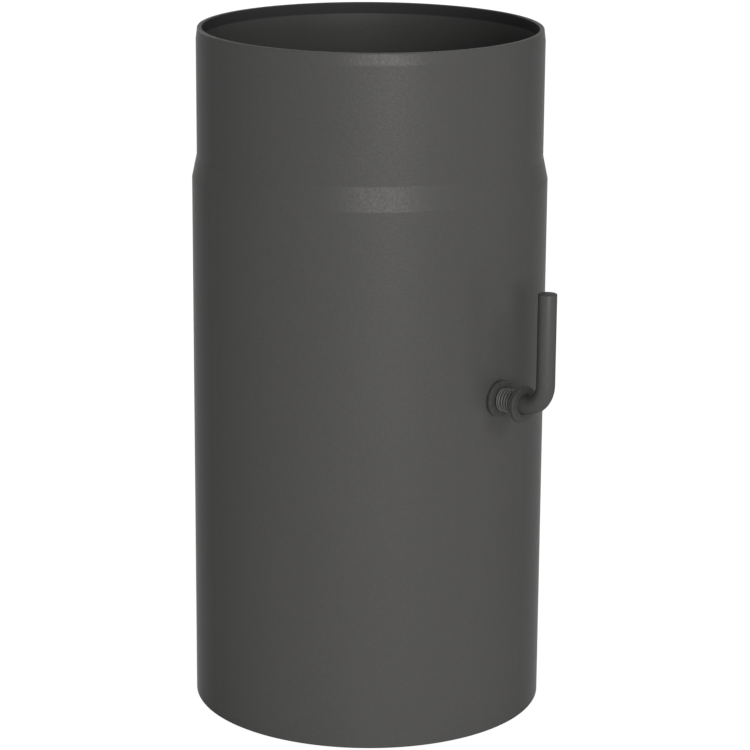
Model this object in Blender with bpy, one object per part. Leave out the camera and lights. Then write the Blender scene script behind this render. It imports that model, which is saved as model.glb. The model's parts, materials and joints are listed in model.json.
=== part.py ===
"""Stove pipe section with a spring-loaded damper, for a flue of 150 mm nominal bore.

Metres, +Z up. The pipe stands on its socket end with its spigot up. The damper shaft lies along X
with the handle at +X, and the damper plate stands upright in the flue, which is fully open.
The origin is on the floor under the middle of the object's box.
"""
import math

import bmesh
import bpy
from mathutils import Matrix, Vector

# Pipe
PIPE_BORE = 0.150
PIPE_WALL = 0.002
PIPE_LENGTH = 0.300
SPIGOT_LENGTH = 0.055
SPIGOT_CLEARANCE = 0.0001
SHOULDER_LENGTH = 0.010
LEAD_IN_LENGTH = 0.005
LEAD_IN_DROP = 0.0006
EDGE_BREAK = 0.0003

# Shaft and handle, one bent round bar
SHAFT_DIAMETER = 0.008
SHAFT_HEIGHT = 0.150
SHAFT_CLEARANCE = 0.0003
BEND_RADIUS = 0.011
ARM_LENGTH = 0.050
BAR_CHAMFER = 0.0004
FAR_END_MARGIN = 0.004

# Washers on the shaft, for an M8 bar
WASHER_DIAMETER = 0.016
WASHER_THICKNESS = 0.0016
WASHER_CLEARANCE = 0.0002
WASHER_EDGE = 0.0002

# Friction spring between the pipe and the handle
SPRING_LENGTH = 0.0104
SPRING_WIRE = 0.001
SPRING_CLEARANCE = 0.0002
ACTIVE_TURNS = 5
DEAD_TURNS = 1
DEAD_TURN_GAP = 0.00005

# Split pin that holds the far end of the shaft
PIN_DIAMETER = 0.002
PIN_CLEARANCE = 0.0002
PIN_SPLIT = 0.0002
PIN_EYE_RADIUS = 0.00115
PIN_BEND_RADIUS = 0.0015
PIN_LEG_TIP = 0.0035
PIN_SPREAD = math.radians(55)

# Damper plate
PLATE_THICKNESS = 0.002
PLATE_CLEARANCE = 0.0022
DRAUGHT_CUT = 0.026

# Screws that hold the plate on the shaft
SCREW_DIAMETER = 0.004
SCREW_LENGTH = 0.016
SCREW_SPACING = 0.090
SCREW_CLEARANCE = 0.0003
HEX_ACROSS_FLATS = 0.007
HEX_CHAMFER = 0.0004
HEAD_HEIGHT = 0.0028
NUT_HEIGHT = 0.0032
FLAT_WASHER_DIAMETER = 0.009
FLAT_WASHER_THICKNESS = 0.0008
LOCK_WASHER_DIAMETER = 0.0076
LOCK_WASHER_THICKNESS = 0.0009
LOCK_WASHER_SPLIT = math.radians(14)
SEAT_DEPTH = 0.001
SEAT_LENGTH = 0.011

# Air left between pieces that touch
CONTACT_GAP = 0.0003

# Facets round each form
PIPE_STEPS = 96
ROUND_STEPS = 32
PIN_HOLE_STEPS = 20
WIRE_STEPS = 8
SPRING_STEPS = 20
BEND_STEP = math.radians(11.25)

# Worked out from the sizes above
BORE_RADIUS = PIPE_BORE / 2
OUTER_RADIUS = BORE_RADIUS + PIPE_WALL
SPIGOT_RADIUS = BORE_RADIUS - SPIGOT_CLEARANCE
SHOULDER_TOP = PIPE_LENGTH - SPIGOT_LENGTH
SHOULDER_BOTTOM = SHOULDER_TOP - SHOULDER_LENGTH
SHAFT_RADIUS = SHAFT_DIAMETER / 2

PIPE_WASHER_X = OUTER_RADIUS + CONTACT_GAP
SPRING_X = PIPE_WASHER_X + WASHER_THICKNESS + CONTACT_GAP
HANDLE_WASHER_X = SPRING_X + SPRING_LENGTH + CONTACT_GAP
BEND_X = HANDLE_WASHER_X + WASHER_THICKNESS + CONTACT_GAP
ARM_X = BEND_X + BEND_RADIUS
END_WASHER_X = -OUTER_RADIUS - CONTACT_GAP - WASHER_THICKNESS
PIN_X = END_WASHER_X - CONTACT_GAP - PIN_DIAMETER / 2
FAR_END_X = PIN_X - FAR_END_MARGIN

PLATE_INNER_Y = SHAFT_RADIUS + CONTACT_GAP
PLATE_OUTER_Y = PLATE_INNER_Y + PLATE_THICKNESS
PLATE_SWEEP = BORE_RADIUS - PLATE_CLEARANCE
PLATE_RADIUS = math.sqrt(PLATE_SWEEP ** 2 - PLATE_OUTER_Y ** 2)
FLAT_WASHER_Y = PLATE_OUTER_Y + CONTACT_GAP
HEAD_Y = FLAT_WASHER_Y + FLAT_WASHER_THICKNESS + CONTACT_GAP
SEAT_Y = SEAT_DEPTH - SHAFT_RADIUS
LOCK_WASHER_Y = SEAT_Y - CONTACT_GAP - LOCK_WASHER_THICKNESS
NUT_Y = LOCK_WASHER_Y - CONTACT_GAP - NUT_HEIGHT
SCREW_HOLE_RADIUS = SCREW_DIAMETER / 2 + SCREW_CLEARANCE

# The handle reaches further from the pipe than the far end, so the pipe stands off the origin
HANDLE_REACH = ARM_X + SHAFT_RADIUS
PIPE_X = -(HANDLE_REACH + FAR_END_X) / 2

X = Vector((1, 0, 0))
Y = Vector((0, 1, 0))
Z = Vector((0, 0, 1))

# Colour, roughness and metallic value of each finish
STOVE_PAINT = ((0.078, 0.077, 0.075), 0.40, 0.1)
BLACK_STEEL = ((0.100, 0.100, 0.098), 0.50, 0.4)
SPRING_STEEL = ((0.120, 0.120, 0.118), 0.40, 0.4)
SCALED_STEEL = ((0.062, 0.061, 0.060), 0.55, 0.5)


def clear_scene():
    for item in list(bpy.data.objects):
        bpy.data.objects.remove(item)


def make_material(name, finish):
    colour, roughness, metallic = finish
    material = bpy.data.materials.new(name)
    material.use_nodes = True
    shader = material.node_tree.nodes["Principled BSDF"]
    shader.inputs["Base Color"].default_value = (*colour, 1.0)
    shader.inputs["Roughness"].default_value = roughness
    shader.inputs["Metallic"].default_value = metallic
    return material


def make_object(name, bm, finish, parent=None, location=(0, 0, 0), sharp=math.radians(30)):
    """Turn a closed shape into a smooth-shaded object whose origin is the shape's own origin."""
    bmesh.ops.recalc_face_normals(bm, faces=bm.faces[:])
    mesh = bpy.data.meshes.new(name)
    bm.to_mesh(mesh)
    bm.free()
    mesh.shade_smooth()
    mesh.set_sharp_from_angle(angle=sharp)
    mesh.materials.append(make_material(name, finish))
    item = bpy.data.objects.new(name, mesh)
    bpy.context.collection.objects.link(item)
    item.parent = parent
    item.location = location
    return item


def make_cutter(name, bm, parent=None, location=(0, 0, 0)):
    cutter = make_object(name, bm, BLACK_STEEL, parent, location)
    cutter.hide_render = True
    cutter.display_type = "WIRE"
    return cutter


def machine(item, cutter, operation="DIFFERENCE"):
    """Cut a piece with another shape, or keep only what lies inside that shape."""
    modifier = item.modifiers.new(cutter.name, "BOOLEAN")
    modifier.operation = operation
    modifier.solver = "EXACT"
    modifier.object = cutter


def turned(outline, axis, steps=ROUND_STEPS):
    """Turn a closed outline of (place along the axis, radius) points into a round body."""
    across = axis.orthogonal().normalized()
    bm = bmesh.new()
    corners = [bm.verts.new(axis * along + across * radius) for along, radius in outline]
    lines = [bm.edges.new((corners[i], corners[i + 1])) for i in range(len(corners) - 1)]
    solid = outline[0][1] == 0 and outline[-1][1] == 0
    if not solid:
        lines.append(bm.edges.new((corners[-1], corners[0])))
    bmesh.ops.spin(
        bm, geom=corners + lines, cent=(0, 0, 0), axis=axis, angle=math.tau, steps=steps,
        use_merge=True,
    )
    bmesh.ops.remove_doubles(bm, verts=bm.verts[:], dist=1e-6)
    return bm


def round_bar(radius, start, axis, length, steps=ROUND_STEPS):
    """Make a plain round bar from a start point along an axis."""
    bm = turned([(0, 0), (0, radius), (length, radius), (length, 0)], axis, steps)
    bmesh.ops.translate(bm, verts=bm.verts[:], vec=start)
    return bm


def drill_bit(radius, direction, reach, steps=ROUND_STEPS):
    """Make a round cutter through the origin, its corners turned clear of a bar's own corners."""
    bm = round_bar(radius, -direction * reach, direction, 2 * reach, steps)
    turn = Matrix.Rotation(math.tau / steps / 4, 3, direction)
    bmesh.ops.rotate(bm, verts=bm.verts[:], cent=(0, 0, 0), matrix=turn)
    return bm


def box(low, high):
    """Make a box from its lowest and highest corners."""
    low, high = Vector(low), Vector(high)
    bm = bmesh.new()
    bmesh.ops.create_cube(bm, size=1)
    bmesh.ops.scale(bm, vec=high - low, verts=bm.verts[:])
    bmesh.ops.translate(bm, vec=(low + high) / 2, verts=bm.verts[:])
    return bm


def lengthen(bm, end, move, grow=1.0):
    """Draw the end face of a bar out along a vector, and widen or narrow it there."""
    drawn = bmesh.ops.extrude_face_region(bm, geom=[end])["geom"]
    end = next(part for part in drawn if isinstance(part, bmesh.types.BMFace))
    bmesh.ops.translate(bm, verts=end.verts[:], vec=move)
    centre = end.calc_center_median()
    bmesh.ops.scale(
        bm, verts=end.verts[:], vec=(grow, grow, grow), space=Matrix.Translation(-centre),
    )
    return end


def wind(bm, end, centre, axis, angle, steps, rise=0.0):
    """Carry the end face of a bar round an axis, rising along the axis by an even amount."""
    wound = bmesh.ops.spin(
        bm, geom=[end], cent=centre, axis=axis, angle=angle, steps=steps,
        dvec=axis * (rise / steps),
    )["geom_last"]
    return next(part for part in wound if isinstance(part, bmesh.types.BMFace))


def form_bar(bm, end, place, heading, normal, moves):
    """Form a bar in one plane by moves of (straight length, bend angle, bend radius)."""
    for length, angle, radius in moves:
        if length:
            end = lengthen(bm, end, heading * length)
            place = place + heading * length
        if angle:
            centre = place + normal.cross(heading) * math.copysign(radius, angle)
            steps = math.ceil(abs(angle) / BEND_STEP)
            end = wind(bm, end, centre, normal, angle, steps)
            turn = Matrix.Rotation(angle, 3, normal)
            place = centre + turn @ (place - centre)
            heading = turn @ heading
    return end, heading


def drop_inner_faces(bm):
    """Remove the faces that an extrusion leaves inside a bar."""
    inner = [face for face in bm.faces if all(len(edge.link_faces) > 2 for edge in face.edges)]
    bmesh.ops.delete(bm, geom=inner, context="FACES_ONLY")


def pipe_outline():
    """Outline of the pipe wall as (height, radius), up the outside and down the inside."""
    lip_radius = SPIGOT_RADIUS - LEAD_IN_DROP
    lip_bottom = PIPE_LENGTH - LEAD_IN_LENGTH
    outside = [
        (0, OUTER_RADIUS),
        (SHOULDER_BOTTOM, OUTER_RADIUS),
        (SHOULDER_TOP, SPIGOT_RADIUS),
        (lip_bottom, SPIGOT_RADIUS),
        (PIPE_LENGTH, lip_radius),
    ]
    inside = [
        (PIPE_LENGTH, lip_radius - PIPE_WALL + EDGE_BREAK),
        (PIPE_LENGTH - EDGE_BREAK, lip_radius - PIPE_WALL),
        (lip_bottom, SPIGOT_RADIUS - PIPE_WALL),
        (SHOULDER_TOP, SPIGOT_RADIUS - PIPE_WALL),
        (SHOULDER_BOTTOM, BORE_RADIUS),
        (0, BORE_RADIUS),
    ]
    return outside + inside


def pipe_body():
    """Rolled steel pipe, narrowed at the top and drilled through for the shaft."""
    pipe = make_object(
        "pipe_body", turned(pipe_outline(), Z, PIPE_STEPS), STOVE_PAINT,
        location=(PIPE_X, 0, 0), sharp=math.radians(8),
    )
    drill = drill_bit(SHAFT_RADIUS + SHAFT_CLEARANCE, X, PIPE_BORE)
    machine(pipe, make_cutter("shaft_hole_drill", drill, location=(PIPE_X, 0, SHAFT_HEIGHT)))


def damper_shaft(axis, screw_drills):
    """Round bar through the pipe, bent up outside as the handle."""
    tip = SHAFT_RADIUS - BAR_CHAMFER
    start = X * FAR_END_X
    bm = bmesh.new()
    bmesh.ops.create_circle(
        bm, cap_ends=True, segments=ROUND_STEPS, radius=tip,
        matrix=Matrix.Translation(start) @ Matrix.Rotation(math.pi / 2, 4, "Y"),
    )
    bm.faces.ensure_lookup_table()
    end = lengthen(bm, bm.faces[0], X * BAR_CHAMFER, SHAFT_RADIUS / tip)
    moves = [
        (BEND_X - FAR_END_X - BAR_CHAMFER, math.pi / 2, BEND_RADIUS),
        (ARM_LENGTH - BEND_RADIUS - BAR_CHAMFER, 0, 0),
    ]
    end, heading = form_bar(bm, end, start + X * BAR_CHAMFER, X, -Y, moves)
    lengthen(bm, end, heading * BAR_CHAMFER, tip / SHAFT_RADIUS)
    drop_inner_faces(bm)
    shaft = make_object("damper_shaft", bm, STOVE_PAINT, axis)
    for side, drill in screw_drills.items():
        middle = side * SCREW_SPACING / 2
        flat = box(
            (middle - SEAT_LENGTH / 2, -SHAFT_DIAMETER, -SHAFT_DIAMETER),
            (middle + SEAT_LENGTH / 2, SEAT_Y, SHAFT_DIAMETER),
        )
        machine(shaft, make_cutter(f"seat_mill_{drill.name[-1]}", flat, axis))
        machine(shaft, drill)
    pin_hole = drill_bit(PIN_DIAMETER / 2 + PIN_CLEARANCE, Z, SHAFT_DIAMETER, PIN_HOLE_STEPS)
    machine(shaft, make_cutter("pin_hole_drill", pin_hole, axis, X * PIN_X))


def damper_plate(axis, screw_drills):
    """Sheet steel disc with a segment cut off, so that it never shuts the flue."""
    middle = Y * PLATE_INNER_Y
    disc = round_bar(PLATE_RADIUS, middle, Y, PLATE_THICKNESS, PIPE_STEPS)
    bmesh.ops.bisect_plane(
        disc, geom=disc.verts[:] + disc.edges[:] + disc.faces[:],
        plane_co=Z * (PLATE_RADIUS - DRAUGHT_CUT), plane_no=Z, clear_outer=True, dist=1e-6,
    )
    rim = [edge for edge in disc.edges if len(edge.link_faces) == 1]
    bmesh.ops.contextual_create(disc, geom=rim)
    plate = make_object("damper_plate", disc, SCALED_STEEL, axis)
    for drill in screw_drills.values():
        machine(plate, drill)


def shaft_washer(name, place, parent, location):
    """Flat washer on the shaft, with broken outer edges."""
    radius = WASHER_DIAMETER / 2
    bore = SHAFT_RADIUS + WASHER_CLEARANCE
    outline = [
        (place, bore),
        (place, radius - WASHER_EDGE),
        (place + WASHER_EDGE, radius),
        (place + WASHER_THICKNESS - WASHER_EDGE, radius),
        (place + WASHER_THICKNESS, radius - WASHER_EDGE),
        (place + WASHER_THICKNESS, bore),
    ]
    make_object(name, turned(outline, X), BLACK_STEEL, parent, location)


def friction_spring(axis):
    """Compression spring wound round the shaft, with a closed turn at each end."""
    coil_radius = SHAFT_RADIUS + SPRING_CLEARANCE + SPRING_WIRE / 2
    dead_rise = DEAD_TURNS * (SPRING_WIRE + DEAD_TURN_GAP)
    active_rise = SPRING_LENGTH - SPRING_WIRE - 2 * dead_rise
    start = X * (SPRING_X + SPRING_WIRE / 2) + Z * coil_radius
    bm = bmesh.new()
    bmesh.ops.create_circle(
        bm, cap_ends=True, segments=WIRE_STEPS, radius=SPRING_WIRE / 2,
        matrix=Matrix.Translation(start) @ Matrix.Rotation(math.pi / 2, 4, "X"),
    )
    bm.faces.ensure_lookup_table()
    end = bm.faces[0]
    lead = 0.0
    stages = [(DEAD_TURNS, dead_rise), (ACTIVE_TURNS, active_rise), (DEAD_TURNS, dead_rise)]
    for turns, rise in stages:
        end = wind(bm, end, X * lead, X, turns * math.tau, turns * SPRING_STEPS, rise)
        lead += rise
    drop_inner_faces(bm)
    make_object("friction_spring", bm, SPRING_STEEL, axis)


def cotter_pin(axis):
    """Split pin of half-round wire: an eye above the shaft and two legs spread below it."""
    wire = (PIN_DIAMETER - PIN_SPLIT) / 2
    neck_radius = wire + PIN_CLEARANCE
    neck = math.acos((PIN_SPLIT / 2 + neck_radius) / (PIN_EYE_RADIUS + neck_radius))
    neck_height = SHAFT_RADIUS + CONTACT_GAP
    leg_bottom = -SHAFT_RADIUS - CONTACT_GAP
    tip_heading = Vector((0, math.sin(PIN_SPREAD), math.cos(PIN_SPREAD)))
    bend_start = Vector((
        PIN_X,
        -PIN_SPLIT / 2 - PIN_BEND_RADIUS * (1 - math.cos(PIN_SPREAD)),
        leg_bottom - PIN_BEND_RADIUS * math.sin(PIN_SPREAD),
    ))
    tip = bend_start - tip_heading * PIN_LEG_TIP
    left = X.cross(tip_heading)
    arc = [math.pi * step / WIRE_STEPS for step in range(WIRE_STEPS + 1)]
    bm = bmesh.new()
    section = [bm.verts.new(tip + (X * math.cos(a) + left * math.sin(a)) * wire) for a in arc]
    end = bm.faces.new(section)
    leg = neck_height - leg_bottom
    moves = [
        (PIN_LEG_TIP, PIN_SPREAD, PIN_BEND_RADIUS),
        (leg, neck, neck_radius),
        (0, -math.pi - 2 * neck, PIN_EYE_RADIUS),
        (0, neck, neck_radius),
        (leg, PIN_SPREAD, PIN_BEND_RADIUS),
        (PIN_LEG_TIP, 0, 0),
    ]
    form_bar(bm, end, tip, tip_heading, X, moves)
    drop_inner_faces(bm)
    make_object("cotter_pin", bm, BLACK_STEEL, axis)


def plate_screw(number, axis, middle, hex_bar):
    """Hexagon-head screw through the plate and the shaft, with a chamfered head and tip."""
    head = HEX_ACROSS_FLATS / 2 / math.cos(math.pi / 6)
    top = HEAD_Y + HEAD_HEIGHT
    tip = HEAD_Y - SCREW_LENGTH
    shank = SCREW_DIAMETER / 2
    outline = [
        (top, 0),
        (top, HEX_ACROSS_FLATS / 2),
        (top - HEX_CHAMFER, head),
        (HEAD_Y, head),
        (HEAD_Y, shank),
        (tip + BAR_CHAMFER, shank),
        (tip, shank - BAR_CHAMFER),
        (tip, 0),
    ]
    screw = make_object(f"plate_screw_{number}", turned(outline, Y), BLACK_STEEL, axis, middle)
    machine(screw, hex_bar, "INTERSECT")


def plate_nut(number, axis, middle, hex_bar):
    """Hexagon nut with both ends chamfered."""
    corner = HEX_ACROSS_FLATS / 2 / math.cos(math.pi / 6)
    flat = HEX_ACROSS_FLATS / 2
    top = NUT_Y + NUT_HEIGHT
    outline = [
        (NUT_Y, SCREW_HOLE_RADIUS),
        (NUT_Y, flat),
        (NUT_Y + HEX_CHAMFER, corner),
        (top - HEX_CHAMFER, corner),
        (top, flat),
        (top, SCREW_HOLE_RADIUS),
    ]
    nut = make_object(f"plate_nut_{number}", turned(outline, Y), BLACK_STEEL, axis, middle)
    machine(nut, hex_bar, "INTERSECT")


def plate_washer(number, axis, middle):
    """Flat washer under the screw head."""
    outline = [
        (FLAT_WASHER_Y, SCREW_HOLE_RADIUS),
        (FLAT_WASHER_Y, FLAT_WASHER_DIAMETER / 2),
        (FLAT_WASHER_Y + FLAT_WASHER_THICKNESS, FLAT_WASHER_DIAMETER / 2),
        (FLAT_WASHER_Y + FLAT_WASHER_THICKNESS, SCREW_HOLE_RADIUS),
    ]
    make_object(f"plate_washer_{number}", turned(outline, Y), BLACK_STEEL, axis, middle)


def lock_washer(number, axis, middle):
    """Split spring washer under the nut, pressed flat."""
    low, high = LOCK_WASHER_Y, LOCK_WASHER_Y + LOCK_WASHER_THICKNESS
    outer = LOCK_WASHER_DIAMETER / 2
    bm = bmesh.new()
    corners = [
        (SCREW_HOLE_RADIUS, low, 0), (outer, low, 0), (outer, high, 0), (SCREW_HOLE_RADIUS, high, 0),
    ]
    end = bm.faces.new([bm.verts.new(corner) for corner in corners])
    wind(bm, end, Vector(), Y, math.tau - LOCK_WASHER_SPLIT, ROUND_STEPS)
    drop_inner_faces(bm)
    make_object(f"lock_washer_{number}", bm, SPRING_STEEL, axis, middle)


def hexagon_bar(number, axis, middle):
    """Hexagonal bar that gives the screw head and the nut their flats."""
    bm = bmesh.new()
    bmesh.ops.create_cone(
        bm, cap_ends=True, segments=6, depth=2 * SCREW_LENGTH,
        radius1=HEX_ACROSS_FLATS / 2 / math.cos(math.pi / 6),
        radius2=HEX_ACROSS_FLATS / 2 / math.cos(math.pi / 6),
        matrix=Matrix.Rotation(math.pi / 2, 4, "X"),
    )
    return make_cutter(f"hexagon_bar_{number}", bm, axis, middle)


def plate_fastening(number, axis, middle):
    """One screw with its washers and nut."""
    hex_bar = hexagon_bar(number, axis, middle)
    plate_screw(number, axis, middle, hex_bar)
    plate_nut(number, axis, middle, hex_bar)
    plate_washer(number, axis, middle)
    lock_washer(number, axis, middle)


def main():
    clear_scene()
    pipe_body()
    pipe_centre = (PIPE_X, 0, SHAFT_HEIGHT)
    shaft_washer("spring_washer_pipe_side", PIPE_WASHER_X, None, pipe_centre)
    shaft_washer("end_washer", END_WASHER_X, None, pipe_centre)

    axis = bpy.data.objects.new("damper_axis", None)
    bpy.context.collection.objects.link(axis)
    axis.location = pipe_centre
    screw_places = {side: X * (side * SCREW_SPACING / 2) for side in (-1, 1)}
    screw_drills = {}
    for number, (side, middle) in enumerate(screw_places.items(), start=1):
        hole = drill_bit(SCREW_HOLE_RADIUS, Y, SCREW_LENGTH)
        screw_drills[side] = make_cutter(f"screw_drill_{number}", hole, axis, middle)
        plate_fastening(number, axis, middle)
    damper_shaft(axis, screw_drills)
    damper_plate(axis, screw_drills)
    shaft_washer("spring_washer_handle_side", HANDLE_WASHER_X, axis, (0, 0, 0))
    friction_spring(axis)
    cotter_pin(axis)


main()
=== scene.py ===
"""Looks of a stove pipe section with a spring-loaded damper, dressed over its solid model.

Metres, +Z up. The pipe stands on its socket end with its spigot up. The damper shaft lies along X
with its handle at +X, and the damper plate stands upright in the open flue.
"""
import json
import math
from contextlib import contextmanager

import bmesh
import bpy
from mathutils import Matrix, Vector


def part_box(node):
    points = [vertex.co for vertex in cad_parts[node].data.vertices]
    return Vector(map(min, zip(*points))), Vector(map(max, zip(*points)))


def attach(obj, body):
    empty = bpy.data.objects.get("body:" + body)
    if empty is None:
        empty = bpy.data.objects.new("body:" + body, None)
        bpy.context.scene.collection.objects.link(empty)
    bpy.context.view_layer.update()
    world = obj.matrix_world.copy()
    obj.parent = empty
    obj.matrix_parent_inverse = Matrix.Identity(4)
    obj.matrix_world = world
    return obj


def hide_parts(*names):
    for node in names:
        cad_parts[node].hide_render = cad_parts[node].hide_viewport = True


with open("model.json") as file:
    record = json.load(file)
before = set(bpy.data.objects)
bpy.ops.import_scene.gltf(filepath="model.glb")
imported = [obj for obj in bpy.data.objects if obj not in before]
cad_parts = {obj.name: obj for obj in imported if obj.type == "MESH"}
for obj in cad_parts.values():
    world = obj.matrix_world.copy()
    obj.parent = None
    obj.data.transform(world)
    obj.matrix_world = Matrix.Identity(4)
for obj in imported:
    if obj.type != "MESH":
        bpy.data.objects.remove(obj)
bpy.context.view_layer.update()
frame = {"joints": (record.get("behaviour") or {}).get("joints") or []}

# View of the photograph: angles in degrees, lens and sensor in millimetres
VIEW_AZIMUTH = 43.97
VIEW_ELEVATION = 15.213
VIEW_ROLL = 0.385
VIEW_DISTANCE = 1.3039
VIEW_AIM_HEIGHT = 0.1453
VIEW_AIM_RIGHT = 0.0028
LENS = 141.70
SENSOR = 36.0

# The damper's axis, through the middle of the pipe
AXIS = Vector(frame["joints"][0]["pos_m"])
SHAFT_Z = AXIS.z
PIPE_CENTRE = Vector((AXIS.x, AXIS.y, 0.0))

# Pipe
PIPE_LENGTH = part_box("pipe_body")[1].z
OUTER_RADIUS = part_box("pipe_body")[1].y
PIPE_WALL = 0.002
SPIGOT_RADIUS = 0.0749
SPIGOT_LENGTH = 0.055
SHOULDER_LENGTH = 0.010
LEAD_IN_LENGTH = 0.005
LEAD_IN_DROP = 0.0006
SHEARED_EDGE = 0.0004
SHOULDER_BEND = 0.0012
LEAD_IN_BEND = 0.0015
BEND_HOLD = 0.0008  # from the end of a bend to the ring that holds the straight wall beside it
SHAFT_HOLE_RADIUS = 0.0043
HOLE_BAND = 0.010  # from the shaft's axis to the rings above and below its holes
SHOULDER_TOP = PIPE_LENGTH - SPIGOT_LENGTH
SHOULDER_BOTTOM = SHOULDER_TOP - SHOULDER_LENGTH
LEAD_IN_BOTTOM = PIPE_LENGTH - LEAD_IN_LENGTH

# Lengthwise weld of the rolled pipe, at +Y, ground flush above the shoulder
WELD_WIDTH = 0.0028
WELD_HEIGHT = 0.00028
WELD_RIPPLE = 0.0009
WELD_RIPPLE_RISE = 0.45  # share of a ripple that narrows; the rest widens again
WELD_RIPPLE_DROP = 0.88  # height in a ripple's valley over the height on its crest

# Shaft and handle
SHAFT_RADIUS = SHAFT_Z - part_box("damper_shaft")[0].z
FAR_END_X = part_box("damper_shaft")[0].x
ARM_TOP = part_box("damper_shaft")[1].z
ARM_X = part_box("damper_shaft")[1].x - SHAFT_RADIUS
BEND_RADIUS = 0.011
BAR_END_ROUND = 0.0004
SEAT_DEPTH = 0.001
SEAT_LENGTH = 0.011
PIN_HOLE_RADIUS = 0.0012

# Washers on the shaft
WASHER_BORE_RADIUS = 0.0042
WASHER_ROLLED_EDGE = 0.00045
WASHER_CUT_EDGE = 0.00015

# Friction spring
SPRING_WIRE = 0.001
DEAD_TURNS = 1
ACTIVE_TURNS = 5
DEAD_TURN_GAP = 0.00005

# Damper plate and its screws
PLATE_EDGE = 0.0003
PLATE_EDGE_CUTS = 3
SCREW_HOLE_RADIUS = 0.0023
SCREW_WASHER_ROLLED_EDGE = 0.0003
SCREW_WASHER_CUT_EDGE = 0.000075
THREAD_RADIUS = 0.00197
THREAD_DEPTH = 0.00043
THREAD_PITCH = 0.0007
NUT_THREAD_RADIUS = 0.00203
HEAD_HEIGHT = 0.0028
HEX_CHAMFER = 0.0004
HEX_FACE = 0.97  # width of the round end face over the width across flats
LOCK_WASHER_SPLIT = math.radians(14)
LOCK_WASHER_EDGE = 0.000075
LOCK_WASHER_EDGE_CUTS = 2
BEVELLED_FROM = math.radians(60)

# Split pin of half-round wire
PIN_WIRE_RADIUS = 0.0009
PIN_SPLIT = 0.0002
PIN_EYE_RADIUS = 0.00115
PIN_BEND_RADIUS = 0.0015
PIN_NECK_RADIUS = 0.0011
PIN_LEG_TIP = 0.0035
PIN_SPREAD = math.radians(55)
PIN_CLEAR = 0.0003  # from the shaft to where the pin's eye and legs begin to bend
PIN_BEND_STEP = math.radians(9)

# Facets round each form, and along one turn of the spring
PIPE_STEPS = 256
ROUND_STEPS = 64
HOLE_STEPS = 48
FINE_STEPS = 32
WIRE_STEPS = 24
WELD_STEPS = 16
BEND_STEPS = 20
ARC_STEPS = 4
SPRING_STEPS = 40
SPRING_ROUNDNESS = 4  # Blender's bevel resolution for the wire

# Angles in degrees past which two faces meet in a crease
CREASE = 35
WELD_CREASE = 60
SPRING_CREASE = 50
PIN_CREASE = 40
HEX_CREASE = 28

# Points this near each other are merged, and points this near a cut lie on it
MERGED_WITHIN = 1e-6
CUT_WITHIN = 1e-7

# A finish has a level, which is its reflectance, and a shade, the share by which its tones are
# darker or lighter. Its patterns have sizes and relief depths in metres. A swing is how far a
# pattern moves the tone, the roughness or the metallic share from its least to its most.

# Paint
PAINT_LEVEL = 0.070
PAINT_SHADE = 0.1
PAINT_WARMTH = 0.014
PAINT_ROUGHNESS = 0.35
PAINT_METALLIC = 0.15
PAINT_SPECULAR = 0.012
PAINT_GRAIN = 0.0011
PAINT_GRAIN_DEPTH = 0.00005
PAINT_GRAIN_TONE_SWING = 0.95
PAINT_GRAIN_ROUGHNESS_SWING = -0.12
PAINT_GRAIN_METALLIC_SWING = 0.18
PAINT_PEEL = 0.0035
PAINT_PEEL_DEPTH = 0.00001
PAINT_CLOUD = 0.045
PAINT_CLOUD_TONE_SWING = 0.24
PAINT_CLOUD_ROUGHNESS_SWING = 0.06

# Dull flakes in the paint, one in each cell whose own value is high, and how much they show
FLAKE_CELL = 0.0008
FLAKE_FROM = 0.94
FLAKE_FULL = 0.99
FLAKE_LEVEL = 1.9 * PAINT_LEVEL
FLAKE_COVER = 0.06
FLAKE_GLOSS = 0.04

# Painted shade: darker tones inside the lip and on the top of the handle's sawn end, standing in for the
# shade there
LIP_PAINTED_SHADE_LEVEL = 0.042
LIP_FADE = 0.0004
SAWN_END_PAINTED_SHADE_LEVEL = 0.056

# Blackened steel, and the level, roughness and metallic share of its three kinds
WASHER_STEEL = (0.050, 0.68, 0.15)
SPRING_STEEL = (0.10, 0.55, 0.25)
SCREW_STEEL = (0.12, 0.45, 0.4)
STEEL_SHADE = 0.22
STEEL_DARK_WARMTH = 0.02
STEEL_LIGHT_WARMTH = 0.01
STEEL_SPECULAR = 0.1
STEEL_GRAIN = 0.0005
STEEL_GRAIN_DEPTH = 0.000008
STEEL_GRAIN_TONE_SWING = 0.6
STEEL_GRAIN_ROUGHNESS_SWING = 0.10
STEEL_PATCH = 0.004
STEEL_PATCH_DEPTH = 0.00002
STEEL_PATCH_TONE_SWING = 1.2
STEEL_PATCH_ROUGHNESS_SWING = 0.18

# Mill scale on the damper plate, with streaks along its height and a trace of rust
SCALE_DARK = (0.060, 0.063, 0.070, 1)
SCALE_LIGHT = (0.135, 0.133, 0.130, 1)
SCALE_ROUGHNESS = 0.46
SCALE_METALLIC = 0.5
SCALE_SPECULAR = 0.3
SCALE_GRAIN = 0.0006
SCALE_GRAIN_DEPTH = 0.000015
SCALE_PATCH = 0.014
SCALE_PATCH_DEPTH = 0.00006
SCALE_PATCH_TONE_SWING = 1.5
SCALE_PATCH_ROUGHNESS_SWING = 0.30
SCALE_STREAK = 0.0016
SCALE_STREAK_DRAW = 0.12
SCALE_STREAK_TONE_SWING = 0.5
RUST_COLOUR = (0.120, 0.066, 0.038, 1)
RUST_PATCH = 0.006
RUST_FROM = 0.66
RUST_FULL = 0.78
RUST_COVER = 0.5
RUST_ROUGHNESS = 0.26
RUST_METALLIC_LOSS = 0.4

# Stage
FLOOR_RADIUS = 3.5
FLOOR_LEVEL = 0.9
FLOOR_GLOW = 0.85
FLOOR_WHITE = 1.11
WORLD_LEVEL = 0.185

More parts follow.
